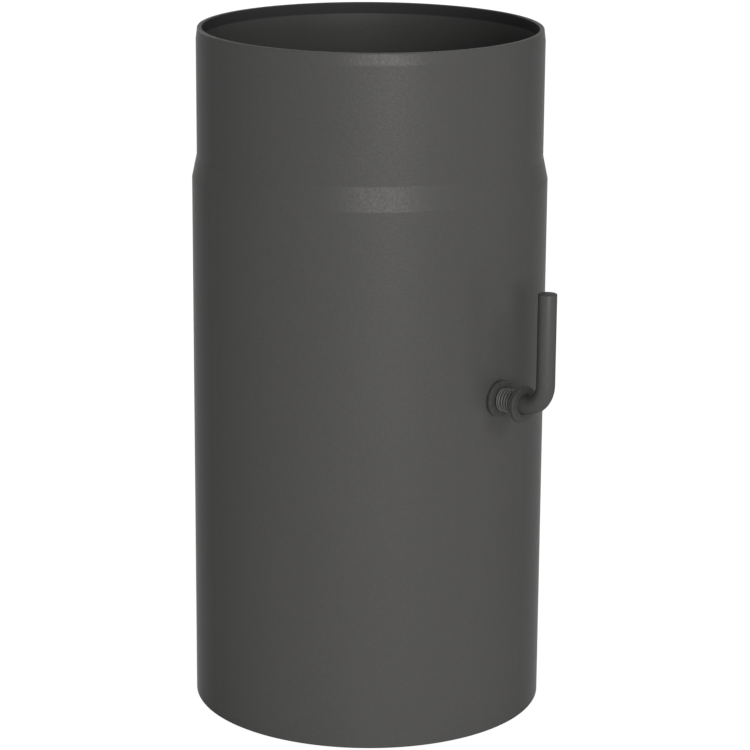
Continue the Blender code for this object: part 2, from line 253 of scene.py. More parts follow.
# Softboxes: name, azimuth from the camera, elevation, distance, width, height, radiance
SOFTBOXES = [
    ("front_softbox", 6, 9, 6.0, 3.6, 1.8, 8.5),
    ("front_strip", 19, 3.0, 5.9, 2.5, 0.6, 16.5),
    ("right_softbox", 45, 32, 6.0, 2.5, 2.0, 5.5),
    ("left_back_softbox", -145, 14, 6.0, 2.6, 2.2, 7.0),
    ("back_softbox", 168, 42, 6.0, 2.6, 1.6, 8.0),
    ("top_softbox", 0, 82, 6.0, 2.2, 2.2, 4.0),
]

AXES = {"X": Vector((1, 0, 0)), "Y": Vector((0, 1, 0)), "Z": Vector((0, 0, 1))}
TURNS = {"X": (0, math.pi / 2, 0), "Y": (-math.pi / 2, 0, 0), "Z": (0, 0, 0)}


# Working on one piece at a time

def take(item):
    """Make one object the only selected one."""
    bpy.ops.object.select_all(action="DESELECT")
    item.select_set(True)
    bpy.context.view_layer.objects.active = item


@contextmanager
def editing(item, mode="VERT"):
    """Work on a piece in edit mode with all of it selected."""
    take(item)
    bpy.ops.object.mode_set(mode="EDIT")
    bpy.ops.mesh.select_mode(type=mode)
    bpy.ops.mesh.select_all(action="SELECT")
    yield
    bpy.ops.object.mode_set(mode="OBJECT")


def added(name, primitive, **settings):
    """Add a primitive with nothing else selected, and put its place in its mesh."""
    bpy.ops.object.select_all(action="DESELECT")
    primitive(**settings)
    item = bpy.context.object
    item.name = name
    bpy.ops.object.transform_apply(location=True, rotation=True, scale=True)
    return item


def apply_modifier(item, kind, **settings):
    """Shape a piece with a modifier and apply it."""
    change = item.modifiers.new(kind.lower(), kind)
    for key, value in settings.items():
        setattr(change, key, value)
    take(item)
    bpy.ops.object.modifier_apply(modifier=change.name)


def machine(item, cutter, operation="DIFFERENCE"):
    """Cut a piece with another shape, join it on, or keep only what lies inside it."""
    apply_modifier(item, "BOOLEAN", operation=operation, solver="EXACT", object=cutter)
    bpy.data.objects.remove(cutter)


def smooth(item, angle=CREASE):
    """Shade a piece smooth, with creases where its faces meet at more than an angle in degrees."""
    take(item)
    bpy.ops.object.shade_smooth_by_angle(angle=math.radians(angle))


def copy_piece(item, name, move):
    """Copy a finished piece to another place, with its own mesh."""
    copy = bpy.data.objects.new(name, item.data.copy())
    copy.data.transform(Matrix.Translation(move))
    bpy.context.scene.collection.objects.link(copy)
    return copy


def close_ends(hollow=False):
    """In edit mode, close the open ends of a tube: to each other if hollow, or each by itself."""
    bpy.ops.mesh.select_all(action="DESELECT")
    bpy.ops.mesh.select_non_manifold()
    if hollow:
        bpy.ops.mesh.bridge_edge_loops()
    else:
        bpy.ops.mesh.fill_holes(sides=0)
    bpy.ops.mesh.select_all(action="SELECT")
    bpy.ops.mesh.normals_make_consistent(inside=False)


# Outlines and round bodies

def rounded(corners, hold=0.0):
    """Round a closed outline of (place, radius, rounding) corners, with holding points beside each."""
    points = []
    for number, (place, radius, rounding) in enumerate(corners):
        corner = Vector((place, radius))
        if not rounding:
            points.append(corner)
            continue
        back = Vector(corners[number - 1][:2]) - corner
        ahead = Vector(corners[(number + 1) % len(corners)][:2]) - corner
        half = back.angle(ahead) / 2
        reach = rounding / math.tan(half)
        back_way, ahead_way = back.normalized(), ahead.normalized()
        centre = corner + (back_way + ahead_way).normalized() * rounding / math.sin(half)
        first = corner + back_way * reach - centre
        last = corner + ahead_way * reach - centre
        if hold and back.length > reach + 2 * hold:
            points.append(corner + back_way * (reach + hold))
        for step in range(ARC_STEPS + 1):
            points.append(centre + first.lerp(last, step / ARC_STEPS).normalized() * rounding)
        if hold and ahead.length > reach + 2 * hold:
            points.append(corner + ahead_way * (reach + hold))
    return points


def turned(name, outline, centre, axis, steps=ROUND_STEPS):
    """Draw a ring along an outline of (place along the axis, radius) points into a round body.

    An outline that starts and ends at radius 0 gives a solid body, and any other a hollow ring.
    """
    rings = [(place, radius) for place, radius in outline if radius > 0]
    place, radius = rings[0]
    item = added(
        name, bpy.ops.mesh.primitive_circle_add,
        vertices=steps, radius=radius, location=centre + AXES[axis] * place, rotation=TURNS[axis],
    )
    with editing(item, "EDGE"):
        for next_place, next_radius in rings[1:]:
            draw_on(AXES[axis] * (next_place - place))
            widen(next_radius / radius, centre + AXES[axis] * next_place)
            place, radius = next_place, next_radius
        close_ends(hollow=len(rings) == len(outline))
    return item


def draw_on(move):
    """In edit mode, draw the selected ring out along a move."""
    bpy.ops.mesh.extrude_region_move(TRANSFORM_OT_translate={"value": move})


def widen(factor, centre):
    """In edit mode, widen or narrow the selected ring about its centre."""
    bpy.ops.transform.resize(value=(factor, factor, factor), center_override=centre)


def flatten(factor, centre):
    """In edit mode, stretch or flatten the selected points along Y about a centre."""
    bpy.ops.transform.resize(value=(1, factor, 1), center_override=centre)


def bend_on(centre, axis, angle, steps):
    """In edit mode, carry the selected ring round an axis by a right-handed angle."""
    bpy.ops.mesh.spin(steps=steps, angle=-angle, center=centre, axis=axis)


def round_cutter(radius, centre, axis, reach, steps=HOLE_STEPS):
    """A plain round cutter through a centre."""
    return added(
        "cutter", bpy.ops.mesh.primitive_cylinder_add,
        vertices=steps, radius=radius, depth=2 * reach, location=centre, rotation=TURNS[axis],
    )


# Pipe

def pipe_shell():
    """Rolled pipe with a shoulder, a spigot with a lead-in, and a hole on each side for the shaft."""
    lip_radius = SPIGOT_RADIUS - LEAD_IN_DROP
    bore = OUTER_RADIUS - PIPE_WALL
    neck_bore = SPIGOT_RADIUS - PIPE_WALL
    lip_bore = lip_radius - PIPE_WALL
    corners = [
        (0, OUTER_RADIUS, SHEARED_EDGE),
        (SHAFT_Z - HOLE_BAND, OUTER_RADIUS, 0),
        (SHAFT_Z + HOLE_BAND, OUTER_RADIUS, 0),
        (SHOULDER_BOTTOM, OUTER_RADIUS, SHOULDER_BEND),
        (SHOULDER_TOP, SPIGOT_RADIUS, SHOULDER_BEND),
        (LEAD_IN_BOTTOM, SPIGOT_RADIUS, LEAD_IN_BEND),
        (PIPE_LENGTH, lip_radius, SHEARED_EDGE),
        (PIPE_LENGTH, lip_bore, SHEARED_EDGE),
        (LEAD_IN_BOTTOM, neck_bore, LEAD_IN_BEND),
        (SHOULDER_TOP, neck_bore, SHOULDER_BEND),
        (SHOULDER_BOTTOM, bore, SHOULDER_BEND),
        (SHAFT_Z + HOLE_BAND, bore, 0),
        (SHAFT_Z - HOLE_BAND, bore, 0),
        (0, bore, SHEARED_EDGE),
    ]
    pipe = turned("pipe_shell", rounded(corners, BEND_HOLD), PIPE_CENTRE, "Z", PIPE_STEPS)
    machine(pipe, round_cutter(SHAFT_HOLE_RADIUS, AXIS, "X", 2 * OUTER_RADIUS))
    smooth(pipe)
    return pipe


def pipe_seam_weld():
    """Rippled weld bead up the outside of the pipe, repeated from one ripple."""
    half = WELD_WIDTH / 2
    surface = PIPE_CENTRE + AXES["Y"] * OUTER_RADIUS
    weld = added(
        "pipe_seam_weld", bpy.ops.mesh.primitive_circle_add,
        vertices=WELD_STEPS, radius=half, location=surface,
    )
    with editing(weld, "EDGE"):
        flatten(WELD_HEIGHT / half, surface)
        draw_on(AXES["Z"] * WELD_RIPPLE * WELD_RIPPLE_RISE)
        flatten(WELD_RIPPLE_DROP, surface)
        draw_on(AXES["Z"] * WELD_RIPPLE * (1 - WELD_RIPPLE_RISE))
        flatten(1 / WELD_RIPPLE_DROP, surface)
    ripples = int(SHOULDER_BOTTOM / WELD_RIPPLE)
    apply_modifier(
        weld, "ARRAY", count=ripples, use_relative_offset=False, use_constant_offset=True,
        constant_offset_displace=(0, 0, WELD_RIPPLE), use_merge_vertices=True,
        merge_threshold=MERGED_WITHIN,
    )
    with editing(weld):
        close_ends()
    smooth(weld, WELD_CREASE)
    return weld


# Shaft, handle and what they carry

def handle_bar(screw_places, pin_place):
    """Round bar through the pipe, bent up outside as the handle, seated and drilled for its screws."""
    start = Vector((FAR_END_X, AXIS.y, SHAFT_Z))
    bar = added(
        "handle_bar", bpy.ops.mesh.primitive_circle_add,
        vertices=ROUND_STEPS, radius=SHAFT_RADIUS - BAR_END_ROUND, location=start,
        rotation=TURNS["X"],
    )
    bend_start = ARM_X - BEND_RADIUS
    bend_centre = Vector((bend_start, AXIS.y, SHAFT_Z + BEND_RADIUS))
    arm = Vector((ARM_X, AXIS.y, ARM_TOP))
    with editing(bar, "EDGE"):
        round_end(start, AXES["X"])
        draw_on(AXES["X"] * (bend_start - FAR_END_X - BAR_END_ROUND))
        bend_on(bend_centre, AXES["Y"], -math.pi / 2, BEND_STEPS)
        draw_on(AXES["Z"] * (ARM_TOP - BAR_END_ROUND - bend_centre.z))
        round_end(arm, -AXES["Z"], closing=True)
        close_ends()
    for place in screw_places:
        seat_cutter = added(
            "cutter", bpy.ops.mesh.primitive_cube_add, size=1,
            location=(place.x, AXIS.y - SHAFT_RADIUS, SHAFT_Z),
            scale=(SEAT_LENGTH, 2 * SEAT_DEPTH, 3 * SHAFT_RADIUS),
        )
        machine(bar, seat_cutter)
        machine(bar, round_cutter(SCREW_HOLE_RADIUS, place, "Y", 2 * SHAFT_RADIUS))
    machine(bar, round_cutter(PIN_HOLE_RADIUS, pin_place, "Z", 2 * SHAFT_RADIUS, FINE_STEPS))
    smooth(bar)
    return bar


def round_end(face_centre, inward, closing=False):
    """In edit mode, draw the ring round the edge of a bar's end face: away from the face, or onto it."""
    shares = [step / ARC_STEPS for step in range(ARC_STEPS + 1)]
    if closing:
        shares.reverse()
    rings = []
    for share in shares:
        depth = BAR_END_ROUND * (1 - math.cos(share * math.pi / 2))
        rings.append((depth, SHAFT_RADIUS - BAR_END_ROUND * (1 - math.sin(share * math.pi / 2))))
    for (before_depth, before_radius), (depth, radius) in zip(rings, rings[1:]):
        draw_on(inward * (depth - before_depth))
        widen(radius / before_radius, face_centre + inward * depth)


def shaft_washer(node, name, rolled_side):
    """Punched washer: one side's outer edge is rolled over, the other side's is nearly sharp."""
    low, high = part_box(node)
    radius = (high.z - low.z) / 2
    edges = (WASHER_ROLLED_EDGE, WASHER_CUT_EDGE)
    low_edge, high_edge = edges if rolled_side < 0 else edges[::-1]
    corners = [
        (low.x, WASHER_BORE_RADIUS, WASHER_CUT_EDGE),
        (low.x, radius, low_edge),
        (high.x, radius, high_edge),
        (high.x, WASHER_BORE_RADIUS, WASHER_CUT_EDGE),
    ]
    washer = turned(name, rounded(corners), Vector((0, AXIS.y, SHAFT_Z)), "X")
    smooth(washer)
    return washer


def coil_route():
    """Points along the spring's wire, with a closed turn at each end."""
    low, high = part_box("friction_spring")
    coil_radius = (high.z - low.z - SPRING_WIRE) / 2
    dead_rise = DEAD_TURNS * (SPRING_WIRE + DEAD_TURN_GAP)
    active_rise = high.x - low.x - SPRING_WIRE - 2 * dead_rise
    turns = 2 * DEAD_TURNS + ACTIVE_TURNS
    points = []
    for step in range(turns * SPRING_STEPS + 1):
        turn = step / SPRING_STEPS
        along = min(turn, DEAD_TURNS) * dead_rise / DEAD_TURNS
        along += min(max(turn - DEAD_TURNS, 0), ACTIVE_TURNS) * active_rise / ACTIVE_TURNS
        along += max(turn - DEAD_TURNS - ACTIVE_TURNS, 0) * dead_rise / DEAD_TURNS
        angle = turn * math.tau
        points.append((
            low.x + SPRING_WIRE / 2 + along,
            AXIS.y - coil_radius * math.sin(angle),
            SHAFT_Z + coil_radius * math.cos(angle),
        ))
    return points


def coil_spring():
    """Compression spring of round wire between the two washers."""
    points = coil_route()
    curve = bpy.data.curves.new("coil_spring", "CURVE")
    curve.dimensions = "3D"
    curve.bevel_depth = SPRING_WIRE / 2
    curve.bevel_resolution = SPRING_ROUNDNESS
    curve.use_fill_caps = True
    line = curve.splines.new("POLY")
    line.points.add(len(points) - 1)
    for point, place in zip(line.points, points):
        point.co = (*place, 1)
    spring = bpy.data.objects.new("coil_spring", curve)
    bpy.context.scene.collection.objects.link(spring)
    take(spring)
    bpy.ops.object.convert(target="MESH")
    spring = bpy.context.object
    with editing(spring):
        bpy.ops.mesh.remove_doubles(threshold=MERGED_WITHIN)
        bpy.ops.mesh.normals_make_consistent(inside=False)
    smooth(spring, SPRING_CREASE)
    return spring


def split_pin(place):
    """Split pin of half-round wire: an eye above the shaft and two legs spread below it."""
    neck = math.acos((PIN_SPLIT / 2 + PIN_NECK_RADIUS) / (PIN_EYE_RADIUS + PIN_NECK_RADIUS))
    clear = SHAFT_RADIUS + PIN_CLEAR
    heading = Vector((0, math.sin(PIN_SPREAD), math.cos(PIN_SPREAD)))
    bend_start = place + Vector((
        0,
        -PIN_SPLIT / 2 - PIN_BEND_RADIUS * (1 - math.cos(PIN_SPREAD)),
        -clear - PIN_BEND_RADIUS * math.sin(PIN_SPREAD),
    ))
    tip = bend_start - heading * PIN_LEG_TIP
    normal = AXES["X"]
    left = normal.cross(heading)
    moves = [
        (PIN_LEG_TIP, PIN_SPREAD, PIN_BEND_RADIUS),
        (2 * clear, neck, PIN_NECK_RADIUS),
        (0, -math.pi - 2 * neck, PIN_EYE_RADIUS),
        (0, neck, PIN_NECK_RADIUS),
        (2 * clear, PIN_SPREAD, PIN_BEND_RADIUS),
        (PIN_LEG_TIP, 0, 0),
    ]
    pin = added(
        "split_pin", bpy.ops.mesh.primitive_circle_add,
        vertices=WIRE_STEPS, radius=PIN_WIRE_RADIUS, location=tip,
        rotation=Matrix((left, normal, heading)).transposed().to_euler(),
    )
    with editing(pin):
        halve_ring(tip, left)
        carry_along(tip, heading, normal, moves)
        close_ends()
    smooth(pin, PIN_CREASE)
    return pin


def halve_ring(centre, kept_side):
    """In edit mode, keep the half of a ring on one side of its centre, closed by a flat."""
    bpy.ops.mesh.edge_face_add()
    bpy.ops.mesh.bisect(
        plane_co=centre, plane_no=kept_side, use_fill=False, clear_inner=True,
        threshold=CUT_WITHIN,
    )
    bpy.ops.mesh.select_all(action="SELECT")
    bpy.ops.mesh.delete(type="ONLY_FACE")
    bpy.ops.mesh.select_mode(type="EDGE")
    bpy.ops.mesh.select_all(action="SELECT")


def carry_along(at, heading, normal, moves):
    """In edit mode, carry the selected ring along straight lengths, each with a bend after it."""
    for length, angle, radius in moves:
        if length:
            draw_on(heading * length)
            at = at + heading * length
        if angle:
            centre = at + normal.cross(heading) * math.copysign(radius, angle)
            bend_on(centre, normal, angle, math.ceil(abs(angle) / PIN_BEND_STEP))
            turn = Matrix.Rotation(angle, 3, normal)
            at = centre + turn @ (at - centre)
            heading = turn @ heading


# Damper plate and its fastenings

def damper_disc(screw_places):
    """Sheet steel disc with a segment cut off and its sheared edges eased."""
    low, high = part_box("damper_plate")
    radius = (high.x - low.x) / 2
    middle = Vector(((low.x + high.x) / 2, (low.y + high.y) / 2, SHAFT_Z))
    disc = added(
        "damper_disc", bpy.ops.mesh.primitive_cylinder_add,
        vertices=PIPE_STEPS, radius=radius, depth=high.y - low.y, location=middle,
        rotation=TURNS["Y"],
    )
    with editing(disc):
        cut_off(AXES["Z"] * high.z, AXES["Z"])
    apply_modifier(
        disc, "BEVEL", width=PLATE_EDGE, segments=PLATE_EDGE_CUTS, limit_method="ANGLE",
        angle_limit=BEVELLED_FROM, use_clamp_overlap=False,
    )
    for place in screw_places:
        machine(disc, round_cutter(SCREW_HOLE_RADIUS, place, "Y", 4 * SHAFT_RADIUS))
    smooth(disc)
    return disc


def cut_off(place, way):
    """In edit mode, cut off all that lies beyond a place, and close the cut."""
    bpy.ops.mesh.bisect(
        plane_co=place, plane_no=way, use_fill=True, clear_outer=True, threshold=CUT_WITHIN,
    )


def hexagon(name, low_y, high_y, middle, across_flats, low_chamfer):
    """Hexagonal bar with corners up and down, turned back at its high end, and at its low end if asked."""
    corner = across_flats / 2 / math.cos(math.pi / 6)
    centre = Vector((middle.x, (low_y + high_y) / 2, middle.z))
    item = added(
        name, bpy.ops.mesh.primitive_cylinder_add,
        vertices=6, radius=corner, depth=high_y - low_y, location=centre, rotation=TURNS["Y"],
    )
    wide = corner + HEX_CHAMFER / 2
    narrow = across_flats * HEX_FACE - wide
    outline = [(low_y - HEX_CHAMFER, 0), (low_y - HEX_CHAMFER, narrow if low_chamfer else wide)]
    if low_chamfer:
        outline.append((low_y + HEX_CHAMFER, wide))
    outline += [(high_y - HEX_CHAMFER, wide), (high_y + HEX_CHAMFER, narrow), (high_y + HEX_CHAMFER, 0)]
    machine(item, turned("turning", outline, Vector((middle.x, 0, middle.z)), "Y"), "INTERSECT")
    return item


def thread(name, middle, low_y, high_y, radius):
    """Threaded rod: one tooth carried up a helix, cut square at both ends."""
    pitch = THREAD_PITCH
    root = radius - THREAD_DEPTH
    tooth = [(root, 0), (root, pitch / 8), (radius, pitch / 2), (radius, pitch * 5 / 8), (root, pitch)]
    rod = added(name, bpy.ops.mesh.primitive_plane_add, size=pitch)
    with editing(rod):
        mesh = bmesh.from_edit_mesh(rod.data)
        for number, vertex in enumerate(mesh.verts):
            vertex.select_set(number > 0)
        mesh.select_flush_mode()
        bmesh.update_edit_mesh(rod.data)
        bpy.ops.mesh.delete(type="VERT")
        bpy.ops.mesh.select_all(action="SELECT")
        here = Vector((-pitch / 2, -pitch / 2, 0))
        bpy.ops.transform.translate(value=Vector((*tooth[0], 0)) - here)
        for before, point in zip(tooth, tooth[1:]):
            step = Vector((point[0] - before[0], point[1] - before[1], 0))
            bpy.ops.mesh.extrude_vertices_move(TRANSFORM_OT_translate={"value": step})
    turns = math.ceil((high_y - low_y) / pitch) + 2
    apply_modifier(
        rod, "SCREW", axis="Y", angle=math.tau, screw_offset=pitch, iterations=turns,
        steps=FINE_STEPS, render_steps=FINE_STEPS, use_merge_vertices=True,
        merge_threshold=MERGED_WITHIN,
    )
    rod.data.transform(Matrix.Translation((middle.x, low_y - pitch, middle.z)))
    with editing(rod):
        bpy.ops.mesh.remove_doubles(threshold=MERGED_WITHIN)
        for height, way in ((low_y, -AXES["Y"]), (high_y, AXES["Y"])):
            bpy.ops.mesh.select_all(action="SELECT")
            cut_off(AXES["Y"] * height, way)
        bpy.ops.mesh.select_all(action="SELECT")
        bpy.ops.mesh.normals_make_consistent(inside=False)
    return rod


def hex_screw():
    """Hexagon-head screw, threaded to the head, with its tip turned back."""
    low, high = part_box("plate_screw_1")
    middle = (low + high) / 2
    across_flats = high.x - low.x
    under_head = high.y - HEAD_HEIGHT
    screw = hexagon("hex_screw_1", under_head, high.y, middle, across_flats, False)
    rod = thread("rod", middle, low.y, high.y - HEAD_HEIGHT / 2, THREAD_RADIUS)
    machine(screw, rod, "UNION")
    clear = THREAD_RADIUS + THREAD_DEPTH / 4
    outline = [
        (low.y - THREAD_DEPTH, 0),
        (low.y - THREAD_DEPTH, THREAD_RADIUS - 2 * THREAD_DEPTH),
        (low.y + THREAD_DEPTH, clear),
        (under_head - THREAD_PITCH / 3, clear),
        (under_head - THREAD_PITCH / 3, across_flats),
        (high.y + HEX_CHAMFER, across_flats),
        (high.y + HEX_CHAMFER, 0),
    ]
    machine(screw, turned("turning", outline, Vector((middle.x, 0, middle.z)), "Y"), "INTERSECT")
    smooth(screw, HEX_CREASE)
    return screw


def hex_nut():
    """Hexagon nut, chamfered at both ends, with a countersunk threaded hole."""
    low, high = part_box("plate_nut_1")
    middle = (low + high) / 2
    nut = hexagon("hex_nut_1", low.y, high.y, middle, high.x - low.x, True)
    bore = NUT_THREAD_RADIUS
    mouth = SCREW_HOLE_RADIUS
    deep = mouth - bore
    outline = [
        (low.y - deep, 0),
        (low.y - deep, mouth + deep),
        (low.y + deep, bore),
        (high.y - deep, bore),
        (high.y + deep, mouth + deep),
        (high.y + deep, 0),
    ]
    machine(nut, turned("bore", outline, Vector((middle.x, 0, middle.z)), "Y"))
    smooth(nut, HEX_CREASE)
    return nut


def flat_washer():
    """Small punched washer under a screw head."""
    low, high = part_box("plate_washer_1")
    radius = (high.z - low.z) / 2
    corners = [
        (low.y, SCREW_HOLE_RADIUS, SCREW_WASHER_CUT_EDGE),
        (low.y, radius, SCREW_WASHER_CUT_EDGE),
        (high.y, radius, SCREW_WASHER_ROLLED_EDGE),
        (high.y, SCREW_HOLE_RADIUS, SCREW_WASHER_CUT_EDGE),
    ]
    middle = Vector(((low.x + high.x) / 2, 0, SHAFT_Z))
    washer = turned("flat_washer_1", rounded(corners), middle, "Y")
    smooth(washer)
    return washer


def split_washer():
    """Split lock washer of square wire, pressed flat."""
    low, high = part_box("lock_washer_1")
    outer = (high.x - low.x) / 2
    middle = Vector(((low.x + high.x) / 2, (low.y + high.y) / 2, SHAFT_Z))
    width = outer - SCREW_HOLE_RADIUS
    section = middle + AXES["X"] * (outer - width / 2)
    ring = added("split_washer_1", bpy.ops.mesh.primitive_plane_add, size=width, location=section)
    with editing(ring, "EDGE"):
        flatten((high.y - low.y) / width, section)
        bpy.ops.mesh.delete(type="ONLY_FACE")
        bpy.ops.mesh.select_all(action="SELECT")
        bend_on(middle, AXES["Y"], math.tau - LOCK_WASHER_SPLIT, ROUND_STEPS)
        close_ends()
    apply_modifier(
        ring, "BEVEL", width=LOCK_WASHER_EDGE, segments=LOCK_WASHER_EDGE_CUTS,
        limit_method="ANGLE", angle_limit=BEVELLED_FROM,
    )
    smooth(ring)
    return ring


# Shader building

class Signal:
    """A shader output that Python arithmetic works on."""

    def __init__(self, graph, socket):
        self.graph = graph
        self.socket = socket

    def __add__(self, other):
        return self.graph.maths("ADD", self, other)

    def __sub__(self, other):
        return self.graph.maths("SUBTRACT", self, other)

    def __rsub__(self, other):
        return self.graph.maths("SUBTRACT", other, self)

    def __mul__(self, other):
        return self.graph.maths("MULTIPLY", self, other)

    def __pow__(self, other):
        return self.graph.maths("POWER", self, other)

    __radd__ = __add__
    __rmul__ = __mul__


class Graph:
    """The nodes of one finish, stage surface or world."""

    def __init__(self, owner):
        owner.use_nodes = True
        self.owner = owner
        self.tree = owner.node_tree
        self.tree.nodes.clear()

    def node(self, kind, settings=None, values=None, output=0):
        """Add a node: its settings first, then the values or links of its sockets."""
        made = self.tree.nodes.new("ShaderNode" + kind)
        for key, value in (settings or {}).items():
            setattr(made, key, value)
        for key, value in (values or {}).items():
            socket = made.inputs[key]
            if isinstance(value, Signal):
                self.tree.links.new(value.socket, socket)
            else:
                socket.default_value = value
        return Signal(self, made.outputs[output] if made.outputs else None)

    def outputs(self, signal, keys):
        """Several outputs of the node that a signal comes from."""
        return [Signal(self, signal.socket.node.outputs[key]) for key in keys]

    def parts(self, vector):
        """The three parts of a vector."""
        return self.outputs(self.node("SeparateXYZ", None, {"Vector": vector}), range(3))

    def maths(self, operation, first, second):
        """Work on two values with one Math node."""
        return self.node("Math", {"operation": operation}, {0: first, 1: second})

    def limited(self, value):
        """Keep a value between 0 and 1."""
        return self.node("Clamp", None, {"Value": value, "Min": 0.0, "Max": 1.0})

    def step(self, value, low, high):
        """Rise smoothly from 0 where a value is low to 1 where it is high."""
        settings = {"interpolation_type": "SMOOTHSTEP"}
        return self.node("MapRange", settings, {"Value": value, "From Min": low, "From Max": high})

    def place(self, centre, stretch=(1, 1, 1)):
        """The place on the object, measured from a centre."""
        coordinates = self.node("TexCoord", None, None, "Object")
        moved = self.node("VectorMath", {"operation": "SUBTRACT"}, {0: coordinates, 1: centre})
        return self.node("Mapping", None, {"Vector": moved, "Scale": stretch})

    def noise(self, place, size, detail=2.0, roughness=0.5, distortion=0.0):
        """Cloudy noise with patches of about a size in metres."""
        values = {
            "Vector": place, "Scale": 1 / size, "Detail": detail, "Roughness": roughness,
            "Distortion": distortion,
        }
        return self.node("TexNoise", None, values)

    def cells(self, place, size):
        """Scattered cells of about a size in metres, each with a value of its own from 0 to 1."""
        values = {"Vector": place, "Scale": 1 / size}
        return self.parts(self.node("TexVoronoi", None, values, "Color"))[0]

    def blend(self, factor, first, second):
        """Mix two colours."""
        return self.node("Mix", {"data_type": "RGBA"}, {0: factor, 6: first, 7: second}, 2)

    def bump(self, height, depth, below=None):
        """Raise a height from 0 to 1 by a depth in metres."""
        values = {"Strength": 1.0, "Distance": depth, "Height": height}
        if below:
            values["Normal"] = below
        return self.node("Bump", None, values)

    def surface(self, **values):
        """Finish a material with a Principled shader."""
        named = {key.replace("_", " "): value for key, value in values.items()}
        shader = self.node("BsdfPrincipled", None, named)
        self.node("OutputMaterial", None, {"Surface": shader})
        return self.owner


def swung(middle, *swings):
    """A middle value that patterns from 0 to 1 move either way, each by its own swing."""
    value = middle
    for pattern, swing in swings:
        value = value + (pattern - 0.5) * swing
    return value


def grey(level, warmth=0.0):
    """A near-neutral colour, warmer above zero and cooler below."""
    return (level * (1 + warmth), level, level * (1 - 1.5 * warmth), 1.0)


# Finishes

def stove_paint(name, centre, painted_shade_mask, painted_shade_level):
    """Charcoal heat-resistant paint: fine grain over a faint orange peel, with sparse dull flakes, and a
    darker tone of painted shade where a mask asks for it.
    """
    graph = Graph(bpy.data.materials.new(name))
    place = graph.place(centre)
    grain = graph.noise(place, PAINT_GRAIN, detail=2, roughness=0.6)
    peel = graph.noise(place, PAINT_PEEL, detail=1)
    cloud = graph.noise(place, PAINT_CLOUD, detail=3)
    flake = graph.step(graph.cells(place, FLAKE_CELL), FLAKE_FROM, FLAKE_FULL)
    tone = swung(0.5, (grain, PAINT_GRAIN_TONE_SWING), (cloud, PAINT_CLOUD_TONE_SWING))
    dark = grey(PAINT_LEVEL * (1 - PAINT_SHADE), PAINT_WARMTH)
    light = grey(PAINT_LEVEL * (1 + PAINT_SHADE), PAINT_WARMTH)
    colour = graph.blend(graph.limited(tone), dark, light)
    colour = graph.blend(flake * FLAKE_COVER, colour, grey(FLAKE_LEVEL))
    # Painted shade: where the mask is 1, the tone is darkened to a set level to stand in for shade.
    colour = graph.blend(painted_shade_mask(graph, place), colour, grey(painted_shade_level))
    roughness = swung(
        PAINT_ROUGHNESS, (cloud, PAINT_CLOUD_ROUGHNESS_SWING), (grain, PAINT_GRAIN_ROUGHNESS_SWING),
    )
    relief = graph.bump(grain, PAINT_GRAIN_DEPTH, graph.bump(peel, PAINT_PEEL_DEPTH))
    return graph.surface(
        Base_Color=colour, Roughness=roughness - flake * FLAKE_GLOSS,
        Metallic=swung(PAINT_METALLIC, (grain, PAINT_GRAIN_METALLIC_SWING)), Normal=relief,
        Specular_IOR_Level=PAINT_SPECULAR, Specular_Tint=grey(0.0),
    )


def inside_lip_painted_shade(graph, place):
    """1 on the band inside the rolled-in lip, which is painted darker as painted shade, and 0 elsewhere.
    """
    across, along, height = graph.parts(place)
    middle_radius = SPIGOT_RADIUS - LEAD_IN_DROP - PIPE_WALL / 2
    distance = (across * across + along * along) ** 0.5
    inside = 1 - graph.step(distance, middle_radius, middle_radius + LIP_FADE)
    return inside * graph.step(height, LEAD_IN_BOTTOM - LIP_FADE, LEAD_IN_BOTTOM + LIP_FADE)


def sawn_end_painted_shade(graph, place):
    """1 on the sawn top end of the handle's arm, painted darker as painted shade, and 0 elsewhere."""
    height = graph.parts(place)[2]
    end = ARM_TOP - SHAFT_Z
    return graph.step(height, end - BAR_END_ROUND, end - BAR_END_ROUND / 4)


def blackened_steel(name, centre, level, roughness, metallic):
    """Dull blackened steel, with a fine grain over soft patches."""
    graph = Graph(bpy.data.materials.new(name))
    place = graph.place(centre)
    grain = graph.noise(place, STEEL_GRAIN, detail=3, roughness=0.6)
    patch = graph.noise(place, STEEL_PATCH, detail=3, roughness=0.55, distortion=0.6)
    tone = swung(0.5, (patch, STEEL_PATCH_TONE_SWING), (grain, STEEL_GRAIN_TONE_SWING))
    dark = grey(level * (1 - STEEL_SHADE), STEEL_DARK_WARMTH)
    light = grey(level * (1 + STEEL_SHADE), STEEL_LIGHT_WARMTH)
    rough = swung(
        roughness, (patch, STEEL_PATCH_ROUGHNESS_SWING), (grain, STEEL_GRAIN_ROUGHNESS_SWING),
    )
    relief = graph.bump(grain, STEEL_GRAIN_DEPTH, graph.bump(patch, STEEL_PATCH_DEPTH))
    return graph.surface(
        Base_Color=graph.blend(graph.limited(tone), dark, light), Roughness=rough,
        Metallic=metallic, Normal=relief, Specular_IOR_Level=STEEL_SPECULAR,
    )


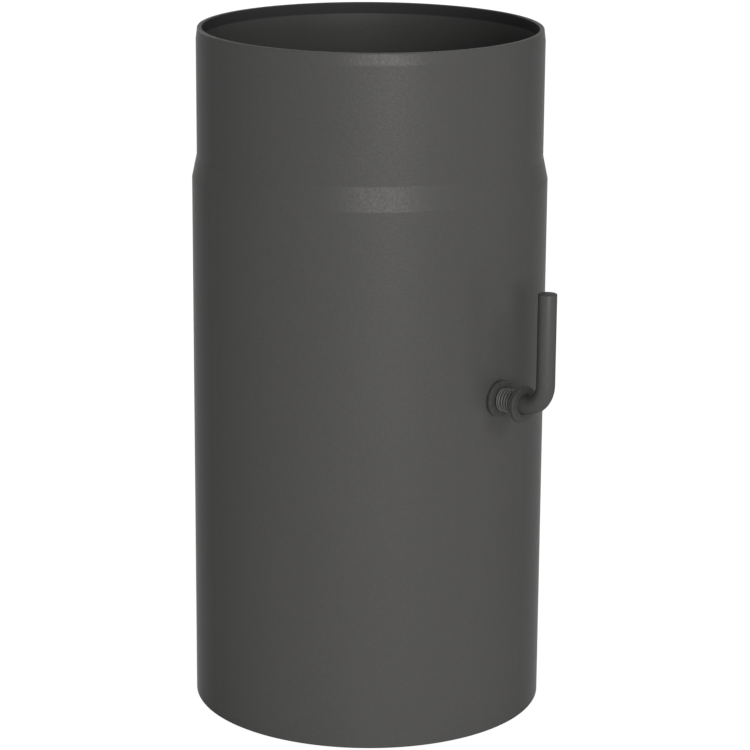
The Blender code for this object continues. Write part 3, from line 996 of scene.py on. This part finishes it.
def mill_scale(name, centre):
    """Hot-rolled sheet: blue-grey scale with rubbed patches and a trace of rust."""
    graph = Graph(bpy.data.materials.new(name))
    place = graph.place(centre)
    drawn = graph.place(centre, stretch=(1, 1, SCALE_STREAK_DRAW))
    grain = graph.noise(place, SCALE_GRAIN, detail=3, roughness=0.6)
    patch = graph.noise(place, SCALE_PATCH, detail=5, roughness=0.6, distortion=0.8)
    streak = graph.noise(drawn, SCALE_STREAK, detail=2)
    rusty = graph.noise(place, RUST_PATCH, detail=4, roughness=0.65, distortion=0.4)
    rust = graph.step(rusty, RUST_FROM, RUST_FULL)
    tone = swung(0.5, (patch, SCALE_PATCH_TONE_SWING), (streak, SCALE_STREAK_TONE_SWING))
    colour = graph.blend(graph.limited(tone), SCALE_DARK, SCALE_LIGHT)
    rough = swung(SCALE_ROUGHNESS, (patch, SCALE_PATCH_ROUGHNESS_SWING)) + rust * RUST_ROUGHNESS
    relief = graph.bump(grain, SCALE_GRAIN_DEPTH, graph.bump(patch, SCALE_PATCH_DEPTH))
    return graph.surface(
        Base_Color=graph.blend(rust * RUST_COVER, colour, RUST_COLOUR), Roughness=rough,
        Metallic=SCALE_METALLIC - rust * RUST_METALLIC_LOSS, Normal=relief,
        Specular_IOR_Level=SCALE_SPECULAR,
    )


# Stage, lights and camera

def seen_directly(graph):
    """1 for the rays that show the background: seen, mirrored or through glass."""
    kinds = ("Is Camera Ray", "Is Glossy Ray", "Is Transmission Ray")
    camera, glossy, glass = graph.outputs(graph.node("LightPath"), kinds)
    return graph.limited(camera + glossy + glass)


def stage_floor():
    """Plain pale floor, white to the camera but for the object's soft shadow."""
    floor = added(
        "floor", bpy.ops.mesh.primitive_circle_add,
        vertices=ROUND_STEPS, radius=FLOOR_RADIUS, fill_type="NGON",
    )
    graph = Graph(bpy.data.materials.new("pale_floor"))
    matt = graph.node("BsdfDiffuse", None, {"Color": grey(FLOOR_LEVEL)})
    white = graph.node("Emission", None, {"Color": grey(1.0), "Strength": FLOOR_WHITE})
    shown = graph.node("MixShader", None, {0: seen_directly(graph) * FLOOR_GLOW, 1: matt, 2: white})
    graph.node("OutputMaterial", None, {"Surface": shown})
    floor.data.materials.append(graph.owner)


def studio_world():
    """White surroundings to the eye, dim soft light for the object."""
    world = bpy.data.worlds.new("studio")
    bpy.context.scene.world = world
    graph = Graph(world)
    dim = graph.node("Background", None, {"Color": grey(1.0), "Strength": WORLD_LEVEL})
    white = graph.node("Background", None, {"Color": grey(1.0), "Strength": 1.0})
    shown = graph.node("MixShader", None, {0: seen_directly(graph), 1: dim, 2: white})
    graph.node("OutputWorld", None, {"Surface": shown})


def direction(azimuth, elevation):
    """Way from the object to an eye or lamp, azimuth from the camera's side, in degrees."""
    a = math.radians(VIEW_AZIMUTH + azimuth)
    e = math.radians(elevation)
    return Vector((math.sin(a) * math.cos(e), -math.cos(a) * math.cos(e), math.sin(e)))


def softbox(name, azimuth, elevation, distance, width, height, radiance):
    """Rectangular lamp facing the middle of the pipe, unseen by the camera."""
    lamp = bpy.data.lights.new(name, "AREA")
    lamp.shape = "RECTANGLE"
    lamp.size = width
    lamp.size_y = height
    lamp.energy = radiance * math.pi * width * height
    item = bpy.data.objects.new(name, lamp)
    bpy.context.scene.collection.objects.link(item)
    way = direction(azimuth, elevation)
    item.location = PIPE_CENTRE + AXES["Z"] * PIPE_LENGTH / 2 + way * distance
    item.rotation_euler = way.to_track_quat("Z", "Y").to_euler()
    item.visible_camera = False


def photograph_camera():
    """Camera at the photograph's place, aimed a little to the right of the pipe's axis."""
    back = direction(0, VIEW_ELEVATION)
    a = math.radians(VIEW_AZIMUTH)
    right = Vector((math.cos(a), math.sin(a), 0))
    up = back.cross(right)
    roll = math.radians(VIEW_ROLL)
    side = right * math.cos(roll) + up * math.sin(roll)
    top = up * math.cos(roll) - right * math.sin(roll)
    aim = PIPE_CENTRE + AXES["Z"] * VIEW_AIM_HEIGHT + right * VIEW_AIM_RIGHT
    data = bpy.data.cameras.new("camera")
    data.lens = LENS
    data.sensor_width = SENSOR
    camera = bpy.data.objects.new("camera", data)
    bpy.context.scene.collection.objects.link(camera)
    turn = Matrix((side, top, back)).transposed().to_4x4()
    camera.matrix_world = Matrix.Translation(aim + back * VIEW_DISTANCE) @ turn
    bpy.context.scene.camera = camera


# Dressing the part

def dress(item, node, body, material):
    """Give a finished piece its material, its body, and the solid that it stands for."""
    item.data.materials.clear()
    item.data.materials.append(material)
    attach(item, body)
    if node:
        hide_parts(node)


def shaft_place(node):
    """The place on the shaft's axis that a node passes through."""
    low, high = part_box(node)
    return Vector(((low.x + high.x) / 2, AXIS.y, SHAFT_Z))


def dress_shaft_washer(node, name, rolled_side, body, steel):
    """One of the three washers on the shaft, on the body that it stays with."""
    dress(shaft_washer(node, name, rolled_side), node, body, steel)


def dress_pipe(washer_steel):
    """The pipe, the weld along it and the two washers that stay with it."""
    # The band inside the lip is darkened as painted shade.
    paint = stove_paint("pipe_paint", PIPE_CENTRE, inside_lip_painted_shade, LIP_PAINTED_SHADE_LEVEL)
    dress(pipe_shell(), "pipe_body", "pipe", paint)
    dress(pipe_seam_weld(), None, "pipe", paint)
    dress_shaft_washer("spring_washer_pipe_side", "wall_washer", 1, "pipe", washer_steel)
    dress_shaft_washer("end_washer", "far_end_washer", -1, "pipe", washer_steel)


def dress_damper(washer_steel):
    """The bar, the plate and all that turns with them."""
    # The top of the handle's sawn end is darkened as painted shade.
    paint = stove_paint("bar_paint", AXIS, sawn_end_painted_shade, SAWN_END_PAINTED_SHADE_LEVEL)
    screw_steel = blackened_steel("screw_steel", AXIS, *SCREW_STEEL)
    wire_steel = blackened_steel("wire_steel", AXIS, *SPRING_STEEL)
    scale = mill_scale("mill_scale", AXIS)
    screw_places = [shaft_place("plate_screw_1"), shaft_place("plate_screw_2")]
    pin_place = shaft_place("cotter_pin")

    dress(handle_bar(screw_places, pin_place), "damper_shaft", "damper", paint)
    dress_shaft_washer("spring_washer_handle_side", "handle_washer", 1, "damper", washer_steel)
    dress(coil_spring(), "friction_spring", "damper", wire_steel)
    dress(split_pin(pin_place), "cotter_pin", "damper", screw_steel)
    dress(damper_disc(screw_places), "damper_plate", "damper", scale)

    fastenings = [
        (hex_screw(), "plate_screw", screw_steel, "black_steel"),
        (hex_nut(), "plate_nut", screw_steel, "black_steel"),
        (flat_washer(), "plate_washer", screw_steel, "black_steel"),
        (split_washer(), "lock_washer", wire_steel, "spring_steel"),
    ]
    apart = screw_places[1] - screw_places[0]
    for first, node, material, slot in fastenings:
        second = copy_piece(first, first.name.replace("_1", "_2"), apart)
        dress(first, f"{node}_1", "damper", material)
        dress(second, f"{node}_2", "damper", material)


def set_stage():
    """Floor, surroundings, lamps and camera."""
    stage_floor()
    studio_world()
    for lamp in SOFTBOXES:
        softbox(*lamp)
    photograph_camera()
    bpy.context.scene.view_settings.view_transform = "Standard"


def main():
    """Dress the part and set the stage."""
    washer_steel = blackened_steel("washer_steel", AXIS, *WASHER_STEEL)
    dress_pipe(washer_steel)
    dress_damper(washer_steel)
    set_stage()


main()
